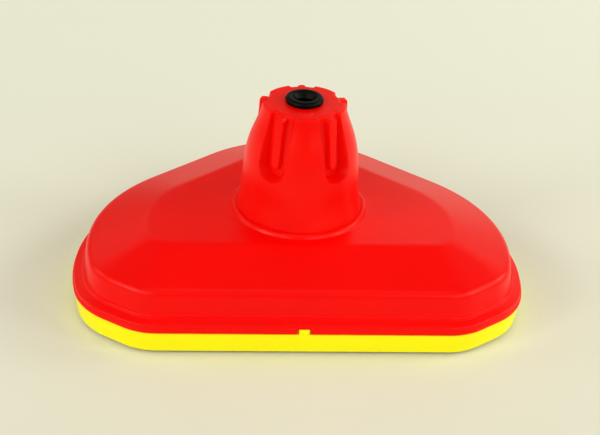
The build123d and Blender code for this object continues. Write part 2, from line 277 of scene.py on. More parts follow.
def make_piece(name, parts, material, body, node):
    """Make one object from closed parts, with their faces outwards, and settle it."""
    whole = bmesh.new()
    for points, faces in parts:
        shape = bmesh.new()
        made = [shape.verts.new(p * MM + np.array([0.0, AXIS_Y * MM, 0.0])) for p in points]
        for face in faces:
            shape.faces.new([made[i] for i in face])
        bmesh.ops.remove_doubles(shape, verts=shape.verts, dist=1e-7)
        bmesh.ops.recalc_face_normals(shape, faces=shape.faces)
        if shape.calc_volume(signed=True) < 0:
            bmesh.ops.reverse_faces(shape, faces=shape.faces)
        part = bpy.data.meshes.new(name)
        shape.to_mesh(part)
        shape.free()
        whole.from_mesh(part)
        bpy.data.meshes.remove(part)
    mesh = bpy.data.meshes.new(name)
    whole.to_mesh(mesh)
    whole.free()
    mesh.materials.append(material)
    settle(name, mesh, 35, body, node)


def curve_through(pairs, at):
    """Return a smooth curve through (position, value) pairs, read at the given positions."""
    xs, ys = np.array(pairs).T
    slopes = np.gradient(ys, xs)
    at = np.clip(at, xs[0], xs[-1])
    i = np.clip(np.searchsorted(xs, at, side="right") - 1, 0, len(xs) - 2)
    width = xs[i + 1] - xs[i]
    t = (at - xs[i]) / width
    return (
        ys[i] * (1 + 2 * t) * (1 - t) ** 2
        + ys[i + 1] * t * t * (3 - 2 * t)
        + width * slopes[i] * t * (1 - t) ** 2
        - width * slopes[i + 1] * t * t * (1 - t)
    )


def ease(value, low, high):
    """Return a smooth step from 0 at low to 1 at high."""
    t = np.clip((value - low) / (high - low), 0, 1)
    return t * t * (3 - 2 * t)


# ---------------- finishes

def feed(tree, node, inputs):
    """Give a node its inputs: a socket is linked, and anything else is set as a value."""
    for key, value in inputs.items():
        if isinstance(value, bpy.types.NodeSocket):
            tree.links.new(value, node.inputs[key])
        else:
            node.inputs[key].default_value = value


def add(tree, kind, inputs=None, **settings):
    """Add one node with its settings and inputs."""
    made = tree.nodes.new(kind)
    for name, value in settings.items():
        setattr(made, name, value)
    feed(tree, made, inputs or {})
    return made


def finish_base(name):
    """Return (material, its tree, its shader, object coordinates) ready for a finish."""
    material = bpy.data.materials.new(name)
    material.use_nodes = True
    tree = material.node_tree
    tree.nodes.clear()
    shader = add(tree, "ShaderNodeBsdfPrincipled")
    add(tree, "ShaderNodeOutputMaterial", {"Surface": shader.outputs["BSDF"]})
    place = add(tree, "ShaderNodeTexCoord").outputs["Object"]
    return material, tree, shader, place


def moulded_plastic(name, colour, deep, rough, grain_mm=0.8, grain=0.01, shine=0.5):
    """Injection-moulded plastic: even colour, faint flow shading, and a fine spark-eroded grain in its gloss."""
    material, tree, shader, place = finish_base(name)
    flow_mm = 60.0
    flow = add(tree, "ShaderNodeTexNoise", {"Vector": place, "Scale": 1 / (flow_mm * MM), "Detail": 2.0})
    spread = add(tree, "ShaderNodeMapRange", {"Value": flow.outputs["Fac"], "From Min": 0.35, "From Max": 0.65})
    shade = add(tree, "ShaderNodeMixRGB", {"Fac": spread.outputs["Result"], "Color1": deep, "Color2": colour})
    # The real grain is about 0.1 mm across, too fine to show, so it is drawn coarser.
    speck = add(tree, "ShaderNodeTexNoise", {"Vector": place, "Scale": 1 / (grain_mm * MM), "Detail": 3.0})
    gloss = add(tree, "ShaderNodeMapRange", {
        "Value": speck.outputs["Fac"], "To Min": rough * 0.85, "To Max": rough * 1.15,
    })
    bump = add(tree, "ShaderNodeBump", {"Height": speck.outputs["Fac"], "Strength": grain, "Distance": 0.1 * MM})
    feed(tree, shader, {
        "Base Color": shade.outputs["Color"], "Roughness": gloss.outputs["Result"], "Normal": bump.outputs["Normal"],
        "IOR": 1.5, "Specular IOR Level": shine,
    })
    return material


def moulded_rubber(name, colour, rough, shine=0.5):
    """Compression-moulded EPDM or nitrile rubber: near black, with a dull bloom and a soft fine texture."""
    material, tree, shader, place = finish_base(name)
    bloom_mm = 6.0
    texture_mm = 0.5
    bloom = add(tree, "ShaderNodeTexNoise", {"Vector": place, "Scale": 1 / (bloom_mm * MM), "Detail": 4.0})
    pale = [c * 1.4 for c in colour[:3]] + [1.0]
    shade = add(tree, "ShaderNodeMixRGB", {"Fac": bloom.outputs["Fac"], "Color1": colour, "Color2": pale})
    fine = add(tree, "ShaderNodeTexNoise", {"Vector": place, "Scale": 1 / (texture_mm * MM), "Detail": 2.0})
    bump = add(tree, "ShaderNodeBump", {"Height": fine.outputs["Fac"], "Strength": 0.12, "Distance": 0.1 * MM})
    feed(tree, shader, {
        "Base Color": shade.outputs["Color"], "Normal": bump.outputs["Normal"],
        "Roughness": rough, "IOR": 1.52, "Specular IOR Level": shine,
    })
    return material


def brushed_steel(name, colour, rough):
    """Stainless steel as drawn and brushed: fine streaks one way vary its gloss."""
    material, tree, shader, place = finish_base(name)
    # Streaks are 25 mm long and two thirds of a millimetre apart, coarser than real ones, so that they show.
    stretch = add(tree, "ShaderNodeMapping", {"Vector": place, "Scale": (40.0, 1500.0, 1500.0)})
    streaks = add(tree, "ShaderNodeTexNoise", {"Vector": stretch.outputs["Vector"], "Scale": 1.0, "Detail": 3.0})
    gloss = add(tree, "ShaderNodeMapRange", {
        "Value": streaks.outputs["Fac"], "To Min": rough * 0.7, "To Max": rough * 1.4,
    })
    bump = add(tree, "ShaderNodeBump", {"Height": streaks.outputs["Fac"], "Strength": 0.05, "Distance": 0.05 * MM})
    feed(tree, shader, {
        "Roughness": gloss.outputs["Result"], "Normal": bump.outputs["Normal"], "Base Color": colour, "Metallic": 1.0,
    })
    return material


def painted_casting(name, colour, rough):
    """Sand-cast iron under black dip paint: the sand's grit shows through as small pits and bumps."""
    material, tree, shader, place = finish_base(name)
    grit_mm = 1.2
    pit_mm = 3.5
    grit = add(tree, "ShaderNodeTexNoise", {"Vector": place, "Scale": 1 / (grit_mm * MM), "Detail": 6.0})
    pits = add(tree, "ShaderNodeTexVoronoi", {"Vector": place, "Scale": 1 / (pit_mm * MM)})
    mixed = add(tree, "ShaderNodeMath", {0: grit.outputs["Fac"], 1: pits.outputs["Distance"]}, operation="ADD")
    pale = [min(1.0, c * 1.8 + 0.01) for c in colour[:3]] + [1.0]
    shade = add(tree, "ShaderNodeMixRGB", {"Fac": grit.outputs["Fac"], "Color1": colour, "Color2": pale})
    bump = add(tree, "ShaderNodeBump", {"Height": mixed.outputs["Value"], "Strength": 0.5, "Distance": 0.4 * MM})
    feed(tree, shader, {
        "Base Color": shade.outputs["Color"], "Normal": bump.outputs["Normal"], "Roughness": rough,
    })
    return material


def nylon_bristle(name, colour, tip):
    """Extruded nylon filament: milky, a little glossy, and paler towards the worn tips."""
    material, tree, shader, place = finish_base(name)
    worn_mm = 5.0
    parts = add(tree, "ShaderNodeSeparateXYZ", {"Vector": place})
    rise = add(tree, "ShaderNodeMapRange", {"Value": parts.outputs["Z"], "From Max": worn_mm * MM})
    shade = add(tree, "ShaderNodeMixRGB", {"Fac": rise.outputs["Result"], "Color1": tip, "Color2": colour})
    feed(tree, shader, {"Base Color": shade.outputs["Color"], "Roughness": 0.38, "IOR": 1.53})
    return material


# ---------------- repeated pieces

def new_tree(name, floats, counts=()):
    """Return a geometry tree with the named inputs, the last of them whole numbers, and its input node."""
    tree = bpy.data.node_groups.new(name, "GeometryNodeTree")
    inputs = [("Geometry", "Geometry"), *((label, "Float") for label in floats), *((label, "Int") for label in counts)]
    for label, kind in inputs:
        tree.interface.new_socket(label, in_out="INPUT", socket_type="NodeSocket" + kind)
    tree.interface.new_socket("Geometry", in_out="OUTPUT", socket_type="NodeSocketGeometry")
    return tree, add(tree, "NodeGroupInput")


def close_tree(tree, geometry, material):
    """End a tree in Realize Instances and Set Material."""
    real = add(tree, "GeometryNodeRealizeInstances", {"Geometry": geometry})
    dressed = add(tree, "GeometryNodeSetMaterial", {"Geometry": real.outputs["Geometry"], "Material": material})
    add(tree, "NodeGroupOutput", {"Geometry": dressed.outputs["Geometry"]})


def grow(name, tree, values, places, body, node):
    """Run a tree on points at the given places and settle the result as a plain mesh piece."""
    seed_mesh = bpy.data.meshes.new(name)
    seed_mesh.from_pydata([(x * MM, (y + AXIS_Y) * MM, z * MM) for x, y, z in places], [], [])
    seed = bpy.data.objects.new(name + "_places", seed_mesh)
    bpy.context.scene.collection.objects.link(seed)
    modifier = seed.modifiers.new("grow", "NODES")
    modifier.node_group = tree
    sockets = {s.name: s.identifier for s in tree.interface.items_tree if s.in_out == "INPUT"}
    for label, value in values.items():
        modifier[sockets[label]] = value
    bpy.context.view_layer.update()
    graph = bpy.context.evaluated_depsgraph_get()
    mesh = bpy.data.meshes.new_from_object(seed.evaluated_get(graph))
    seed.modifiers.remove(modifier)
    bpy.data.objects.remove(seed)
    settle(name, mesh, 32, body, node)


def screw_tree(material):
    """Tree that sets a pan-head cross-recess screw on every point, head down."""
    tree, given = new_tree("pan_head_screws", (*SCREW_SIZES, "Turn Over"))
    out = given.outputs
    minus = add(tree, "ShaderNodeMath", {0: out["Head Height"], 1: -1.0}, operation="MULTIPLY")
    crown, slot_long, slot_wide = (
        add(tree, "ShaderNodeMath", {0: out["Head Radius"], 1: share}, operation="MULTIPLY")
        for share in (CROWN, SLOT_LONG, SLOT_WIDE)
    )
    head = add(tree, "GeometryNodeMeshCone", {
        "Vertices": 32, "Radius Bottom": crown.outputs[0], "Radius Top": out["Head Radius"],
        "Depth": out["Head Height"],
    })
    down = add(tree, "ShaderNodeCombineXYZ", {"Z": minus.outputs[0]})
    set_down = add(tree, "GeometryNodeTransform", {
        "Geometry": head.outputs["Mesh"], "Translation": down.outputs["Vector"],
    })
    cut = set_down.outputs["Geometry"]
    for first, second in ((slot_long, slot_wide), (slot_wide, slot_long)):
        size = add(tree, "ShaderNodeCombineXYZ", {
            "X": first.outputs[0], "Y": second.outputs[0], "Z": out["Head Height"],
        })
        cube = add(tree, "GeometryNodeMeshCube", {"Size": size.outputs["Vector"]})
        tool = add(tree, "GeometryNodeTransform", {
            "Geometry": cube.outputs["Mesh"], "Translation": down.outputs["Vector"],
        })
        left = add(tree, "GeometryNodeMeshBoolean", {
            "Mesh 1": cut, "Mesh 2": tool.outputs["Geometry"],
        }, operation="DIFFERENCE")
        cut = left.outputs["Mesh"]
    shank = add(tree, "GeometryNodeMeshCone", {
        "Vertices": 20, "Radius Bottom": out["Shank Radius"], "Radius Top": out["Shank Radius"],
        "Depth": out["Shank Length"],
    })
    whole = add(tree, "GeometryNodeJoinGeometry", {"Geometry": cut})
    feed(tree, whole, {"Geometry": shank.outputs["Mesh"]})
    turn = add(tree, "ShaderNodeCombineXYZ", {"X": out["Turn Over"]})
    points = add(tree, "GeometryNodeMeshToPoints", {"Mesh": out["Geometry"]})
    placed = add(tree, "GeometryNodeInstanceOnPoints", {
        "Points": points.outputs["Points"], "Instance": whole.outputs["Geometry"], "Rotation": turn.outputs["Vector"],
    })
    close_tree(tree, placed.outputs["Instances"], material)
    return tree


def bristle_tree(material):
    """Tree that plants rows of tufts, each of a few splayed filaments, under one brush rail."""
    tree, given = new_tree(
        "bristle_tufts",
        ("Length", "Width", "Tuft Radius", "Filament Radius", "Filament Length", "Splay", "Angle"),
        ("Tufts", "Rows", "Filaments", "Seed"))
    out = given.outputs
    sheet = add(tree, "GeometryNodeMeshGrid", {
        "Size X": out["Length"], "Size Y": out["Width"], "Vertices X": out["Tufts"], "Vertices Y": out["Rows"],
    })
    tuft = add(tree, "GeometryNodeMeshCircle", {"Vertices": out["Filaments"], "Radius": out["Tuft Radius"]})
    tufts = add(tree, "GeometryNodeInstanceOnPoints", {
        "Points": sheet.outputs["Mesh"], "Instance": tuft.outputs["Mesh"],
    })
    roots = add(tree, "GeometryNodeRealizeInstances", {"Geometry": tufts.outputs["Instances"]})
    turn = add(tree, "ShaderNodeCombineXYZ", {"Z": out["Angle"]})
    laid = add(tree, "GeometryNodeTransform", {
        "Geometry": roots.outputs["Geometry"], "Rotation": turn.outputs["Vector"],
    })
    strand = add(tree, "GeometryNodeMeshCone", {
        "Vertices": 5, "Radius Bottom": out["Filament Radius"], "Radius Top": out["Filament Radius"],
        "Depth": out["Filament Length"],
    })
    less = add(tree, "ShaderNodeMath", {0: out["Splay"], 1: -1.0}, operation="MULTIPLY")
    low = add(tree, "ShaderNodeCombineXYZ", {"X": less.outputs[0], "Y": less.outputs[0]})
    whole_turn = 6.28
    high = add(tree, "ShaderNodeCombineXYZ", {"X": out["Splay"], "Y": out["Splay"], "Z": whole_turn})
    lean = add(tree, "FunctionNodeRandomValue", {
        0: low.outputs["Vector"], 1: high.outputs["Vector"], "Seed": out["Seed"],
    }, data_type="FLOAT_VECTOR")
    drop = add(tree, "ShaderNodeMath", {0: out["Filament Length"], 1: -1.0}, operation="MULTIPLY")
    hang = add(tree, "ShaderNodeCombineXYZ", {"Z": drop.outputs[0]})
    hung = add(tree, "GeometryNodeTransform", {
        "Geometry": strand.outputs["Mesh"], "Translation": hang.outputs["Vector"],
    })
    planted = add(tree, "GeometryNodeInstanceOnPoints", {
        "Points": laid.outputs["Geometry"], "Instance": hung.outputs["Geometry"], "Rotation": lean.outputs["Value"],
    })
    at = add(tree, "GeometryNodeMeshToPoints", {"Mesh": out["Geometry"]})
    grown_once = add(tree, "GeometryNodeGeometryToInstance", {"Geometry": planted.outputs["Instances"]})
    placed = add(tree, "GeometryNodeInstanceOnPoints", {
        "Points": at.outputs["Points"], "Instance": grown_once.outputs["Instances"],
    })
    close_tree(tree, placed.outputs["Instances"], material)
    return tree


# ---------------- what a user can change

class CoverSizes(bpy.types.PropertyGroup):
    """Sizes of the red cover."""
    wall_thick: FloatProperty(
        name="Wall", description="Thickness of the moulded wall", default=0.0029, unit="LENGTH")
    edge_rounding: FloatProperty(
        name="Wall edge", description="Rounding where the wall meets the roof", default=0.0070, unit="LENGTH")
    roof_rounding: FloatProperty(
        name="Roof edge", description="Rounding where the roof meets the flat top", default=0.014, unit="LENGTH")
    notch_wide: FloatProperty(
        name="Notch width", description="Width of the notch for the snap tab", default=0.010, unit="LENGTH")
    notch_top: FloatProperty(
        name="Notch top", description="Height of the notch's ceiling above the floor", default=0.0244, unit="LENGTH")


class SkirtSizes(bpy.types.PropertyGroup):
    """Sizes of the yellow skirt."""
    foot_rounding: FloatProperty(
        name="Foot rounding", description="Rounding of the skirt's lower edge", default=0.0017, unit="LENGTH")
    tab_wide: FloatProperty(
        name="Tab width", description="Width of the snap tab", default=0.0084, unit="LENGTH")
    tab_top: FloatProperty(
        name="Tab top", description="Height of the snap tab above the floor", default=0.0241, unit="LENGTH")


class ConeSizes(bpy.types.PropertyGroup):
    """Sizes of the hose cone."""
    flutes: IntProperty(name="Flutes", description="How many flutes go round the cone", default=5, min=3, max=9)
    flute_low: FloatProperty(
        name="Flute foot radius", description="Radius of a flute's round foot", default=0.0114, unit="LENGTH")
    flute_high: FloatProperty(
        name="Flute top half width", description="Half a flute's width at the top", default=0.0102, unit="LENGTH")
    rib_low: FloatProperty(
        name="Rib foot radius", description="Radius of a rib's round foot", default=0.0043, unit="LENGTH")
    rib_high: FloatProperty(
        name="Rib top half width", description="Half a rib's width at the top", default=0.0038, unit="LENGTH")
    columns: IntProperty(name="Columns", description="Columns of faces round the cone", default=600, min=120)


class BushSizes(bpy.types.PropertyGroup):
    """Sizes of the rubber bush."""
    bore: FloatProperty(name="Bore radius", description="Radius of the straight bore", default=0.00635, unit="LENGTH")
    rim: FloatProperty(name="Rim radius", description="Outer radius of the rim", default=0.0150, unit="LENGTH")


class BrushSizes(bpy.types.PropertyGroup):
    """Sizes of the brush strips."""
    pitch: FloatProperty(name="Tuft pitch", description="Distance between tufts", default=0.0042, unit="LENGTH")
    rows: IntProperty(name="Rows", description="Rows of tufts", default=3, min=1)
    filaments: IntProperty(name="Filaments", description="Filaments in a tuft", default=8, min=3)
    filament: FloatProperty(
        name="Filament radius", description="Radius of a filament", default=0.00022, unit="LENGTH")
    splay: FloatProperty(name="Splay", description="Most lean of a filament", default=0.10, unit="ROTATION")


class HeadColours(bpy.types.PropertyGroup):
    """Colours of the pieces."""
    red: FloatVectorProperty(
        name="Cover red", description="Colour of the cover and cone", subtype="COLOR", size=4,
        default=linear("#F80200"))
    red_deep: FloatVectorProperty(
        name="Cover red, deep", description="Where the plastic flowed thinner", subtype="COLOR", size=4,
        default=linear("#F30200"))
    # The cone's red is a touch more orange than the cover's: painted sheen, for the orange sheen along the cone's
    # sides.
    cone_red_with_painted_sheen: FloatVectorProperty(
        name="Cone red", description="Colour of the hose cone", subtype="COLOR", size=4,
        default=linear("#F81005"))
    yellow: FloatVectorProperty(
        name="Skirt yellow", description="Colour of the skirt", subtype="COLOR", size=4,
        default=linear("#FFFA0A"))
    yellow_deep: FloatVectorProperty(
        name="Skirt yellow, deep", description="Where the plastic flowed thinner", subtype="COLOR", size=4,
        default=linear("#FFF608"))
    rubber: FloatVectorProperty(
        name="Rubber", description="Colour of the bush and seals", subtype="COLOR", size=4,
        default=linear("#030303"))
    # The floor fades from its front colour to the back one: painted light, paler behind the head where more light
    # falls.
    floor: FloatVectorProperty(
        name="Floor", description="Colour of the floor", subtype="COLOR", size=4, default=linear("#E5E2DC"))
    floor_back_painted_light: FloatVectorProperty(
        name="Floor, back", description="Colour of the floor far behind the head", subtype="COLOR", size=4,
        default=linear("#FFFFFF"))


def sizes(context):
    """Return the scene's settings."""
    return context.scene.vacuum_head


class VacuumHead(bpy.types.PropertyGroup):
    """All the settings of the head."""
    cover: PointerProperty(type=CoverSizes, name="Cover", description="Sizes of the cover")
    skirt: PointerProperty(type=SkirtSizes, name="Skirt", description="Sizes of the skirt")
    cone: PointerProperty(type=ConeSizes, name="Cone", description="Sizes of the hose cone")
    bush: PointerProperty(type=BushSizes, name="Bush", description="Sizes of the bush")
    brush: PointerProperty(type=BrushSizes, name="Brushes", description="Sizes of the brushes")
    colours: PointerProperty(type=HeadColours, name="Colours", description="Colours of the pieces")


# ---------------- pieces

class VACUUM_OT_cover(bpy.types.Operator):
    """Mould the red cover over its CAD solid"""
    bl_idname = "vacuum.cover"
    bl_label = "Cover"

    def execute(self, context):
        size = sizes(context).cover
        colours = sizes(context).colours
        wall = size.wall_thick / MM

        # The notch's sides lean by a hair, so two columns stand at each of them.
        half_notch = size.notch_wide / MM / 2
        notch_top = size.notch_top / MM
        notch_deep = 3.3
        lean = 0.04
        angles = column_angles((
            -half_notch - lean, -half_notch + lean, -3.0, 0.0, 3.0, half_notch - lean, half_notch + lean,
        ))

        # Both lines are (inset, height, rounding), from the flange's foot up the wall and over the roof.
        ledge_end = (9.85, 31.7, 0.6)
        edge = (11.7, 49.2, size.edge_rounding / MM)
        wall_line = rounded_path([
            (0.9, 20.6, 0.0), (0.06, 20.6, 0.7), (0.06, 23.2, 0.7), (1.0, 23.7, 0.4), (1.2, 26.9, 1.4),
            (7.4, 28.8, 0.6), (8.2, 31.0, 1.6), ledge_end, edge, (40.0, 58.19, 0.0),
        ], turn=10.0)
        roof_line = np.array(rounded_path([
            ledge_end, edge, (58.3, FLAT_TOP, size.roof_rounding / MM), (110.0, FLAT_TOP, 0.0),
        ], turn=1.5))
        turn_in = 19.0
        roof_start = 52.0
        wall_line = [p for p in wall_line if p[0] < turn_in and p[1] < roof_start]
        insets = np.arange(0.0, DEEPEST_INSET + 0.1, 2.0)
        table = np.array([reach(i, angles) for i in insets])

        def roof_height(radii):
            """Height of the roof at each column's radius."""
            radii = np.broadcast_to(radii, angles.shape)
            found = [np.interp(-radius, -table[:, k], insets) for k, radius in enumerate(radii)]
            return np.interp(found, roof_line[:, 0], roof_line[:, 1])

        def at_inset(inset):
            """Reach of every column at an inset, from the table."""
            return np.array([np.interp(inset, insets, column) for column in table.T])

        front = (np.abs(at_inset(0.0) * np.cos(angles)) < half_notch) & (np.sin(angles) < 0)

        # Outside, from the flange to the roof. In the notch, the lower rows make its ceiling instead.
        low_rows = sum(height < notch_top for inset, height in wall_line)
        ceiling_in, ceiling_wide = 2.5, 1.2
        rows = []
        for i, (inset, height) in enumerate(wall_line):
            radii = at_inset(inset)
            heights = np.full(len(angles), height)
            if i < low_rows:
                ceiling = ceiling_in - ceiling_wide * (i + 1) / low_rows
                radii = np.where(front, at_inset(ceiling), radii)
                heights = np.where(front, notch_top, heights)
            rows.append(ring_row(angles, radii, heights))
        foot = 58.6
        for radii in between(at_inset(wall_line[-1][0]), foot, 42):
            rows.append(ring_row(angles, radii, roof_height(radii)))

        # The raised lip round the cone; its outer side sinks to meet the roof where that slopes.
        lip_line = rounded_path([
            (foot, FLAT_TOP, 0.0), (54.8, FLAT_TOP, 0.5), (53.7, 66.1, 1.6), (52.4, 67.0, 1.2),
            (50.2, 66.8, 0.1), (50.3, 65.4, 0.0), (50.3, 61.2, 0.0),
        ], turn=15.0)[1:]
        lip_middle = 52.0
        blend = 2.0
        drop = FLAT_TOP - roof_height(foot)
        for radius, height in lip_line:
            sink = drop * max(0.0, min(1.0, (FLAT_TOP + blend - height) / blend))
            rows.append(ring_row(angles, radius, height - sink if radius > lip_middle else height))

        # The bearing's housing and the underside, out to the flange again.
        bearing, housing, foot_z = 58.2, 67.0, 57.1
        for radius, height in (
            (57.9, 61.2), (bearing, 60.9), (bearing, 57.4), (58.5, foot_z), (66.7, foot_z), (housing, 57.4),
        ):
            rows.append(ring_row(angles, radius, height))
        least_ceiling = 57.5
        rows.append(ring_row(angles, housing, np.maximum(roof_height(housing) - wall, least_ceiling)))
        ceiling_inset = 20.0
        for radii in between(housing, at_inset(ceiling_inset), 14):
            rows.append(ring_row(angles, radii, roof_height(radii) - wall))
        inside = rounded_path([
            (ceiling_inset, 49.0, 0.0), (14.9, 47.3, 3.5), (12.2, 25.6, 0.8), (3.2, 25.4, 0.6),
            (2.8, 20.6, 0.0),
        ], turn=25.0)[1:]
        for inset, height in inside:
            notched = front & (height < notch_top) & (inset < notch_deep)
            rows.append(ring_row(angles, at_inset(inset), np.where(notched, notch_top, height)))

        # Screw bosses, from the plate up into the roof's wall.
        boss, boss_hole = 4.5, 1.9
        parts = [closed_loop(rows)]
        for x, y in PLATE_SCREWS:
            for side in (-1, 1):
                nearest = int(np.argmin(np.abs(angles - atan2(y, side * x))))
                top = roof_height(hypot(x, y))[nearest] - wall * 0.6
                parts.append(tube(side * x, y, boss_hole, boss, PLATE_TOP, top))
        material = moulded_plastic("red moulded ABS", colours.red, colours.red_deep, rough=0.30, shine=0.14)
        make_piece("cover_moulding", parts, material, "head", "top_shell")
        return {"FINISHED"}


class VACUUM_OT_skirt(bpy.types.Operator):
    """Mould the yellow skirt with its snap tab"""
    bl_idname = "vacuum.skirt"
    bl_label = "Skirt"

    def execute(self, context):
        size = sizes(context).skirt
        colours = sizes(context).colours
        angles = column_angles()
        section = rounded_path([
            (6.4, 4.0, 0.0), (6.2, 2.8, 0.8), (2.5, 2.8, size.foot_rounding / MM), (1.2, 19.7, 0.4),
            (3.2, 19.7, 0.3), (3.5, 25.2, 0.5), (6.3, 25.2, 0.5), (6.3, 16.0, 0.4), (10.5, 16.0, 0.5),
            (10.5, 14.0, 0.4), (6.4, 14.0, 0.0),
        ], turn=15.0)
        rows = [ring_row(angles, reach(inset, angles), height) for inset, height in section]
        tab_top = size.tab_top / MM
        tab_foot = 18.6
        tab_deep = 3.4
        set_back = 1.0
        tab = soft_box(
            (0.0, FRONT_Y + set_back + tab_deep / 2, (tab_top + tab_foot) / 2),
            (size.tab_wide / MM, tab_deep, tab_top - tab_foot), 0.7)
        material = moulded_plastic(
            "yellow moulded PVC", colours.yellow, colours.yellow_deep, rough=0.35, shine=0.14)
        make_piece("skirt_moulding", [closed_loop(rows), tab], material, "head", "base_skirt")
        return {"FINISHED"}


class VACUUM_OT_cone(bpy.types.Operator):
    """Mould the fluted hose cone"""
    bl_idname = "vacuum.cone"
    bl_label = "Hose cone"

    def execute(self, context):
        size = sizes(context).cone
        colours = sizes(context).colours
        pitch = 2 * pi / size.flutes

        def off_flute(around):
            """Angle between each direction and the nearest flute's middle."""
            return np.abs((around + pi / 2 - pi / size.flutes + pitch / 2) % pitch - pitch / 2)

        # Columns stand three times as close together where the ribs' and flutes' edges run.
        fine = np.arange(7200) * 2 * pi / 7200
        from_middle = off_flute(fine) * size.flutes / 5
        rib_edge = np.abs(from_middle - radians(6.9)) < radians(2.4)
        flute_edge = np.abs(from_middle - radians(16.8)) < radians(4.0)
        total = np.concatenate([[0.0], np.cumsum(1.0 + 2.0 * (rib_edge | flute_edge))])
        angles = np.interp(np.arange(size.columns) / size.columns, total / total[-1], np.append(fine, 2 * pi))
        off = off_flute(angles)
        flute_low = size.flute_low / MM
        flute_high = size.flute_high / MM
        rib_low = size.rib_low / MM
        rib_high = size.rib_high / MM

        # Where each round foot has its centre, and where the straight sides above it end.
        flute_z, flute_end = 115.6, 157.0
        rib_z, rib_top = 112.2 + rib_low, 153.4
        beyond = 99.0

        def within(height, low, high, foot_z, top_z, far):
            """How far inside a round-footed outline each column is; the half width goes from low to high."""
            if height > foot_z:
                return low + (high - low) * (height - foot_z) / (top_z - foot_z) - far
            return low - np.hypot(far, height - foot_z)

        def side_radius(height, lobe, ribs=True):
            """Radius of the cone's side at a height, for every column; floors and ribs curl in at their tops."""
            far = np.where(off > pi / 3, beyond, lobe * np.sin(off))
            floor = float(curve_through(FLUTE_FLOORS, height))
            floor -= 1.1 * float(ease(height, 153.7, CONE_TOP)) ** 2
            dip = ease(within(height, flute_low, flute_high, flute_z, flute_end, far), -0.6, 0.9)
            radii = lobe - dip * max(0.0, lobe - floor)
            if ribs and height <= rib_top:
                face = float(curve_through(RIB_FACES, height))
                face -= 0.9 * float(ease(height, 152.2, rib_top)) ** 2
                inside = within(height, rib_low, rib_high, rib_z, rib_top, far)
                inside = inside - 1.5 * float(ease(height, 151.0, rib_top)) ** 2
                radii = radii + ease(inside, -0.7, 0.7) * np.maximum(0.0, face - radii)
            return radii

        # Rows stand closer together at the round feet and at the ribs' tops.
        bands = [
            (61.0, 102.0, 3.0), (102.4, 107.0, 0.35), (107.6, 111.2, 0.6), (111.4, 115.4, 0.35), (115.8, 118.2, 0.6),
            (118.4, 150.0, 1.15), (150.0, 151.9, 0.6),
        ]
        top_end = [152.2, 152.6, 152.9, 153.15, 153.3, rib_top]
        heights = np.concatenate([*(np.arange(*band) for band in bands), top_end])
        rows = [ring_row(angles, side_radius(z, float(curve_through(LOBES, z))), z) for z in heights]
        shoulder = rounded_path([(33.2, 150.0, 0.0), (31.9, CONE_TOP, 2.6), (20.0, CONE_TOP, 0.0)], turn=11.0)
        shoulder = [p for p in shoulder if p[1] > rib_top - 0.02][:-1]
        for radius, height in shoulder:
            rows.append(ring_row(angles, side_radius(max(height, rib_top + 0.01), radius, ribs=False), height))

        # The flat top, with a low round pad in front of the bush.
        edge = side_radius(CONE_TOP, shoulder[-1][0], ribs=False)
        hole = 11.2
        pad, pad_y, pad_high = 5.4, -20.4, 0.25
        for radii in between(edge, hole, 26):
            row = ring_row(angles, radii, CONE_TOP)
            inside = 1 - np.hypot(row[:, 0] / pad, (row[:, 1] - pad_y) / pad)
            row[:, 2] += pad_high * ease(inside, -0.04, 0.1)
            rows.append(row)

        # Down the hole, the hollow inside, and the turning flange with the seal's groove.
        rest = [
            (hole, 150.0), (26.2, 150.0), (27.4, 145.0), (28.6, 137.0), (30.0, 128.0), (31.0, 118.0), (31.8, 106.0),
            (32.8, 101.0), (42.6, 94.0), (43.4, 84.0), (45.0, 66.0), (45.0, 57.9), (57.3, 57.9), (57.6, 58.2),
            (57.6, 60.4), (57.3, 60.7), (54.3, 60.7), (54.3, 59.0), (51.7, 59.0), (51.7, 60.7), (50.1, 60.7),
        ]
        rows += [ring_row(angles, radius, height) for radius, height in rest]
        # The cone's colour holds painted sheen: its red is a touch more orange than the cover's.
        material = moulded_plastic("red moulded ABS, cone", colours.cone_red_with_painted_sheen, colours.red_deep, rough=0.30, shine=0.12)
        make_piece("cone_moulding", [closed_loop(rows)], material, "cone", "swivel_cone")
        return {"FINISHED"}


class VACUUM_OT_bush(bpy.types.Operator):
    """Mould the rubber hose bush"""
    bl_idname = "vacuum.bush"
    bl_label = "Hose bush"

    def execute(self, context):
        size = sizes(context).bush
        bore = size.bore / MM
        rim = size.rim / MM
        body = 11.15
        section = rounded_path([
            (bore, 146.0, 0.0), (bore, 155.0, 1.5), (9.6, 159.75, 2.2), (rim - 1.4, 159.7, 2.2),
            (rim, 157.4, 1.6), (rim - 0.9, CONE_TOP, 0.3), (body, CONE_TOP, 0.0), (body, 150.0, 0.0),
            (13.6, 150.0, 0.3), (12.6, 146.4, 0.5), (10.4, 146.0, 0.4), (10.0, 140.0, 0.5), (bore, 140.0, 0.3),
            (bore, 143.0, 0.0),
        ])
        material = moulded_rubber("black EPDM bush", sizes(context).colours.rubber, 0.40, shine=0.07)
        make_piece("bush_moulding", [turned_loop(section, 128)], material, "cone", "hose_bush")
        return {"FINISHED"}


class VACUUM_OT_brushes(bpy.types.Operator):
    """Plant the three bristle strips"""
    bl_idname = "vacuum.brushes"
    bl_label = "Brushes"

    def execute(self, context):
        size = sizes(context).brush
        material = nylon_bristle("white nylon filament", linear("#CFCBBD"), linear("#E4E1D6"))
        tree = bristle_tree(material)
        for number, (side, (length, x, y, angle)) in enumerate(BRUSHES.items()):
            values = {
                "Length": (length - 4.0) * MM, "Width": 4.6 * MM, "Tufts": int(length * MM / size.pitch),
                "Rows": size.rows, "Filaments": size.filaments, "Tuft Radius": 0.75 * MM,
                "Filament Radius": size.filament, "Filament Length": (BRISTLE_ROOTS - 0.1) * MM,
                "Splay": size.splay, "Angle": radians(angle), "Seed": 11 + number,
            }
            roots = [(x, y, BRISTLE_ROOTS)]
            grow("bristle_tufts_" + side, tree, values, roots, "head", "bristles_" + side)
        return {"FINISHED"}


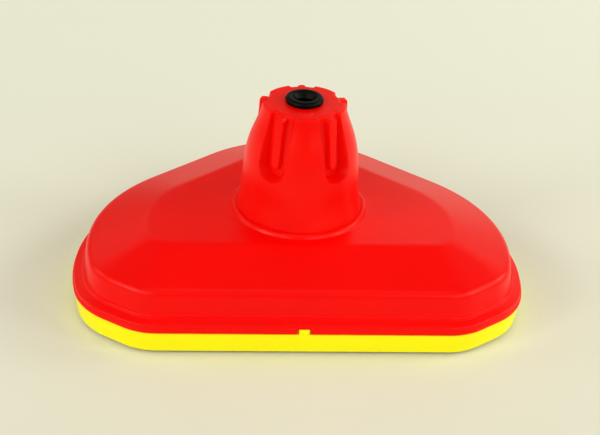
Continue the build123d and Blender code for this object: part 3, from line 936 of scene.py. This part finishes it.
class VACUUM_OT_screws(bpy.types.Operator):
    """Set the plate, ring and ballast screws"""
    bl_idname = "vacuum.screws"
    bl_label = "Screws"

    def execute(self, context):
        material = brushed_steel("turned stainless screws", linear("#B9BABC"), 0.28)
        tree = screw_tree(material)
        under = [(side * x, y, PLATE_BOTTOM) for x, y in PLATE_SCREWS for side in (-1, 1)]
        turns = [radians(30 + 60 * k) for k in range(6)]
        ring = [(RING_SCREWS_RADIUS * cos(a), RING_SCREWS_RADIUS * sin(a), RING_BOTTOM) for a in turns]
        strap = [
            (side * BALLAST_X + step * STRAP_HOLE_X, BALLAST_Y, PLATE_TOP + STRAP_THICK)
            for side in (-1, 1) for step in (-1, 1)
        ]
        # Each set as (name, places, its sizes in millimetres, its turn from head down, node).
        for name, places, lengths, turn_over, node in (
            ("plate_screw_set", under, (3.6, 2.5, 1.85, 14.0), 0.0, "plate_screws"),
            ("ring_screw_set", ring, (2.8, 2.0, 1.35, 7.2), 0.0, "retaining_screws"),
            ("ballast_screw_set", strap, (3.0, 2.0, 1.3, 4.2), pi, "ballast_screws"),
        ):
            values = {label: length * MM for label, length in zip(SCREW_SIZES, lengths)}
            values["Turn Over"] = turn_over
            grow(name, tree, values, places, "head", node)
        return {"FINISHED"}


class VACUUM_OT_inner_finishes(bpy.types.Operator):
    """Give the plate, throat, seals, ring, ballast, straps and rails their finishes"""
    bl_idname = "vacuum.inner_finishes"
    bl_label = "Inner finishes"

    def execute(self, context):
        black = moulded_plastic(
            "black moulded polypropylene", linear("#1B1C1D"), linear("#161718"), rough=0.45, grain=0.10)
        rubber = moulded_rubber("black nitrile seal", linear("#121312"), 0.5)
        acetal = moulded_plastic(
            "white turned acetal", linear("#E4E3DB"), linear("#DEDCD2"), rough=0.38, grain_mm=0.7, grain=0.04)
        casting = painted_casting("black dipped cast iron", linear("#232426"), 0.55)
        strap = brushed_steel("rolled stainless strap", linear("#A9AAAC"), 0.34)
        finishes = {
            black: ["base_plate", "throat", "brush_rail_front", "brush_rail_left", "brush_rail_right"],
            rubber: ["throat_gasket", "cone_o_ring"],
            acetal: ["retaining_ring", "thrust_washer"],
            casting: ["ballast_left", "ballast_right"],
            strap: ["ballast_strap_left", "ballast_strap_right"],
        }
        for material, nodes in finishes.items():
            for name in nodes:
                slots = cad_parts[name].data.materials
                slots.clear()
                slots.append(material)
        return {"FINISHED"}


def outward(turn, rise):
    """Return the direction at a turn from the front and a rise, both in degrees."""
    turn, rise = radians(turn), radians(rise)
    return Vector((sin(turn) * cos(rise), -cos(turn) * cos(rise), sin(rise)))


class VACUUM_OT_stage(bpy.types.Operator):
    """Lay the floor, hang the lamps and set the camera"""
    bl_idname = "vacuum.stage"
    bl_label = "Stage"

    def execute(self, context):
        scene = context.scene
        colours = sizes(context).colours
        half = 12.0
        corners = [(-half, -half, 0), (half, -half, 0), (half, half, 0), (-half, half, 0)]
        floor_mesh = bpy.data.meshes.new("floor")
        floor_mesh.from_pydata(corners, [], [(0, 1, 2, 3)])
        floor = bpy.data.objects.new("floor", floor_mesh)
        scene.collection.objects.link(floor)
        material, tree, shader, place = finish_base("pale studio paper")
        # The paper is painted paler towards the back: painted light, for the brighter light falling there; a plain
        # seamless roll has no other mark.
        painted_light_from, painted_light_to = -0.35, 0.95
        parts = add(tree, "ShaderNodeSeparateXYZ", {"Vector": place})
        painted_light_fade = add(tree, "ShaderNodeMapRange", {
            "Value": parts.outputs["Y"], "From Min": painted_light_from, "From Max": painted_light_to,
        })
        shade = add(tree, "ShaderNodeMixRGB", {
            "Fac": painted_light_fade.outputs["Result"], "Color1": colours.floor, "Color2": colours.floor_back_painted_light,
        })
        feed(tree, shader, {"Base Color": shade.outputs["Color"], "Roughness": 0.7})
        floor_mesh.materials.append(material)

        scene.world = bpy.data.worlds.new("studio")
        scene.world.use_nodes = True
        tree = scene.world.node_tree
        feed(tree, tree.nodes["Background"], {"Color": linear(LAMP_COLOUR), "Strength": 0.20})
        aim = Vector((0.0, 0.0, 0.05))
        for name, turn, rise, far, wide, tall, power in SOFTBOXES:
            lamp = bpy.data.lights.new(name, "AREA")
            lamp.energy = power
            lamp.color = linear(LAMP_COLOUR)[:3]
            lamp.shape = "RECTANGLE"
            lamp.size = wide
            lamp.size_y = tall
            away = outward(turn, rise)
            holder = bpy.data.objects.new(name, lamp)
            holder.location = aim + far * away
            holder.rotation_euler = (-away).to_track_quat("-Z", "Y").to_euler()
            scene.collection.objects.link(holder)

        turn, rise, far = -4.87, 30.44, 1.0
        roll = radians(3.30)
        aim = Vector((0.00054, (-14.24 + AXIS_Y) * MM, 0.060))
        back = outward(turn, rise)
        right = (-back).cross(Vector((0, 0, 1))).normalized()
        up = right.cross(-back)
        across = cos(roll) * right + sin(roll) * up
        above = cos(roll) * up - sin(roll) * right
        lens = bpy.data.cameras.new("camera")
        lens.sensor_width = 36.0
        lens.lens = 75.37
        camera = bpy.data.objects.new("camera", lens)
        stance = Matrix((across, above, back)).transposed().to_4x4()
        camera.matrix_world = Matrix.Translation(aim + back * far) @ stance
        scene.collection.objects.link(camera)
        scene.camera = camera
        scene.view_settings.view_transform = "Standard"
        return {"FINISHED"}


STEPS = (
    VACUUM_OT_cover, VACUUM_OT_skirt, VACUUM_OT_cone, VACUUM_OT_bush, VACUUM_OT_brushes, VACUUM_OT_screws,
    VACUUM_OT_inner_finishes, VACUUM_OT_stage,
)


class VACUUM_PT_head(bpy.types.Panel):
    """Buttons for the pieces of the vacuum head"""
    bl_idname = "VACUUM_PT_head"
    bl_label = "Vacuum Head"
    bl_space_type = "VIEW_3D"
    bl_region_type = "UI"
    bl_category = "Vacuum Head"

    def draw(self, context):
        for step in STEPS:
            self.layout.operator(step.bl_idname)


CLASSES = (
    CoverSizes, SkirtSizes, ConeSizes, BushSizes, BrushSizes, HeadColours, VacuumHead, *STEPS, VACUUM_PT_head,
)


def register():
    """Register the classes and the scene's settings."""
    for one in CLASSES:
        bpy.utils.register_class(one)
    bpy.types.Scene.vacuum_head = PointerProperty(type=VacuumHead)


def unregister():
    """Remove what register added."""
    del bpy.types.Scene.vacuum_head
    for one in reversed(CLASSES):
        bpy.utils.unregister_class(one)


def main():
    """Make every piece in order."""
    register()
    for step in STEPS:
        group, call = step.bl_idname.split(".")
        getattr(getattr(bpy.ops, group), call)()


if __name__ == "__main__":
    main()
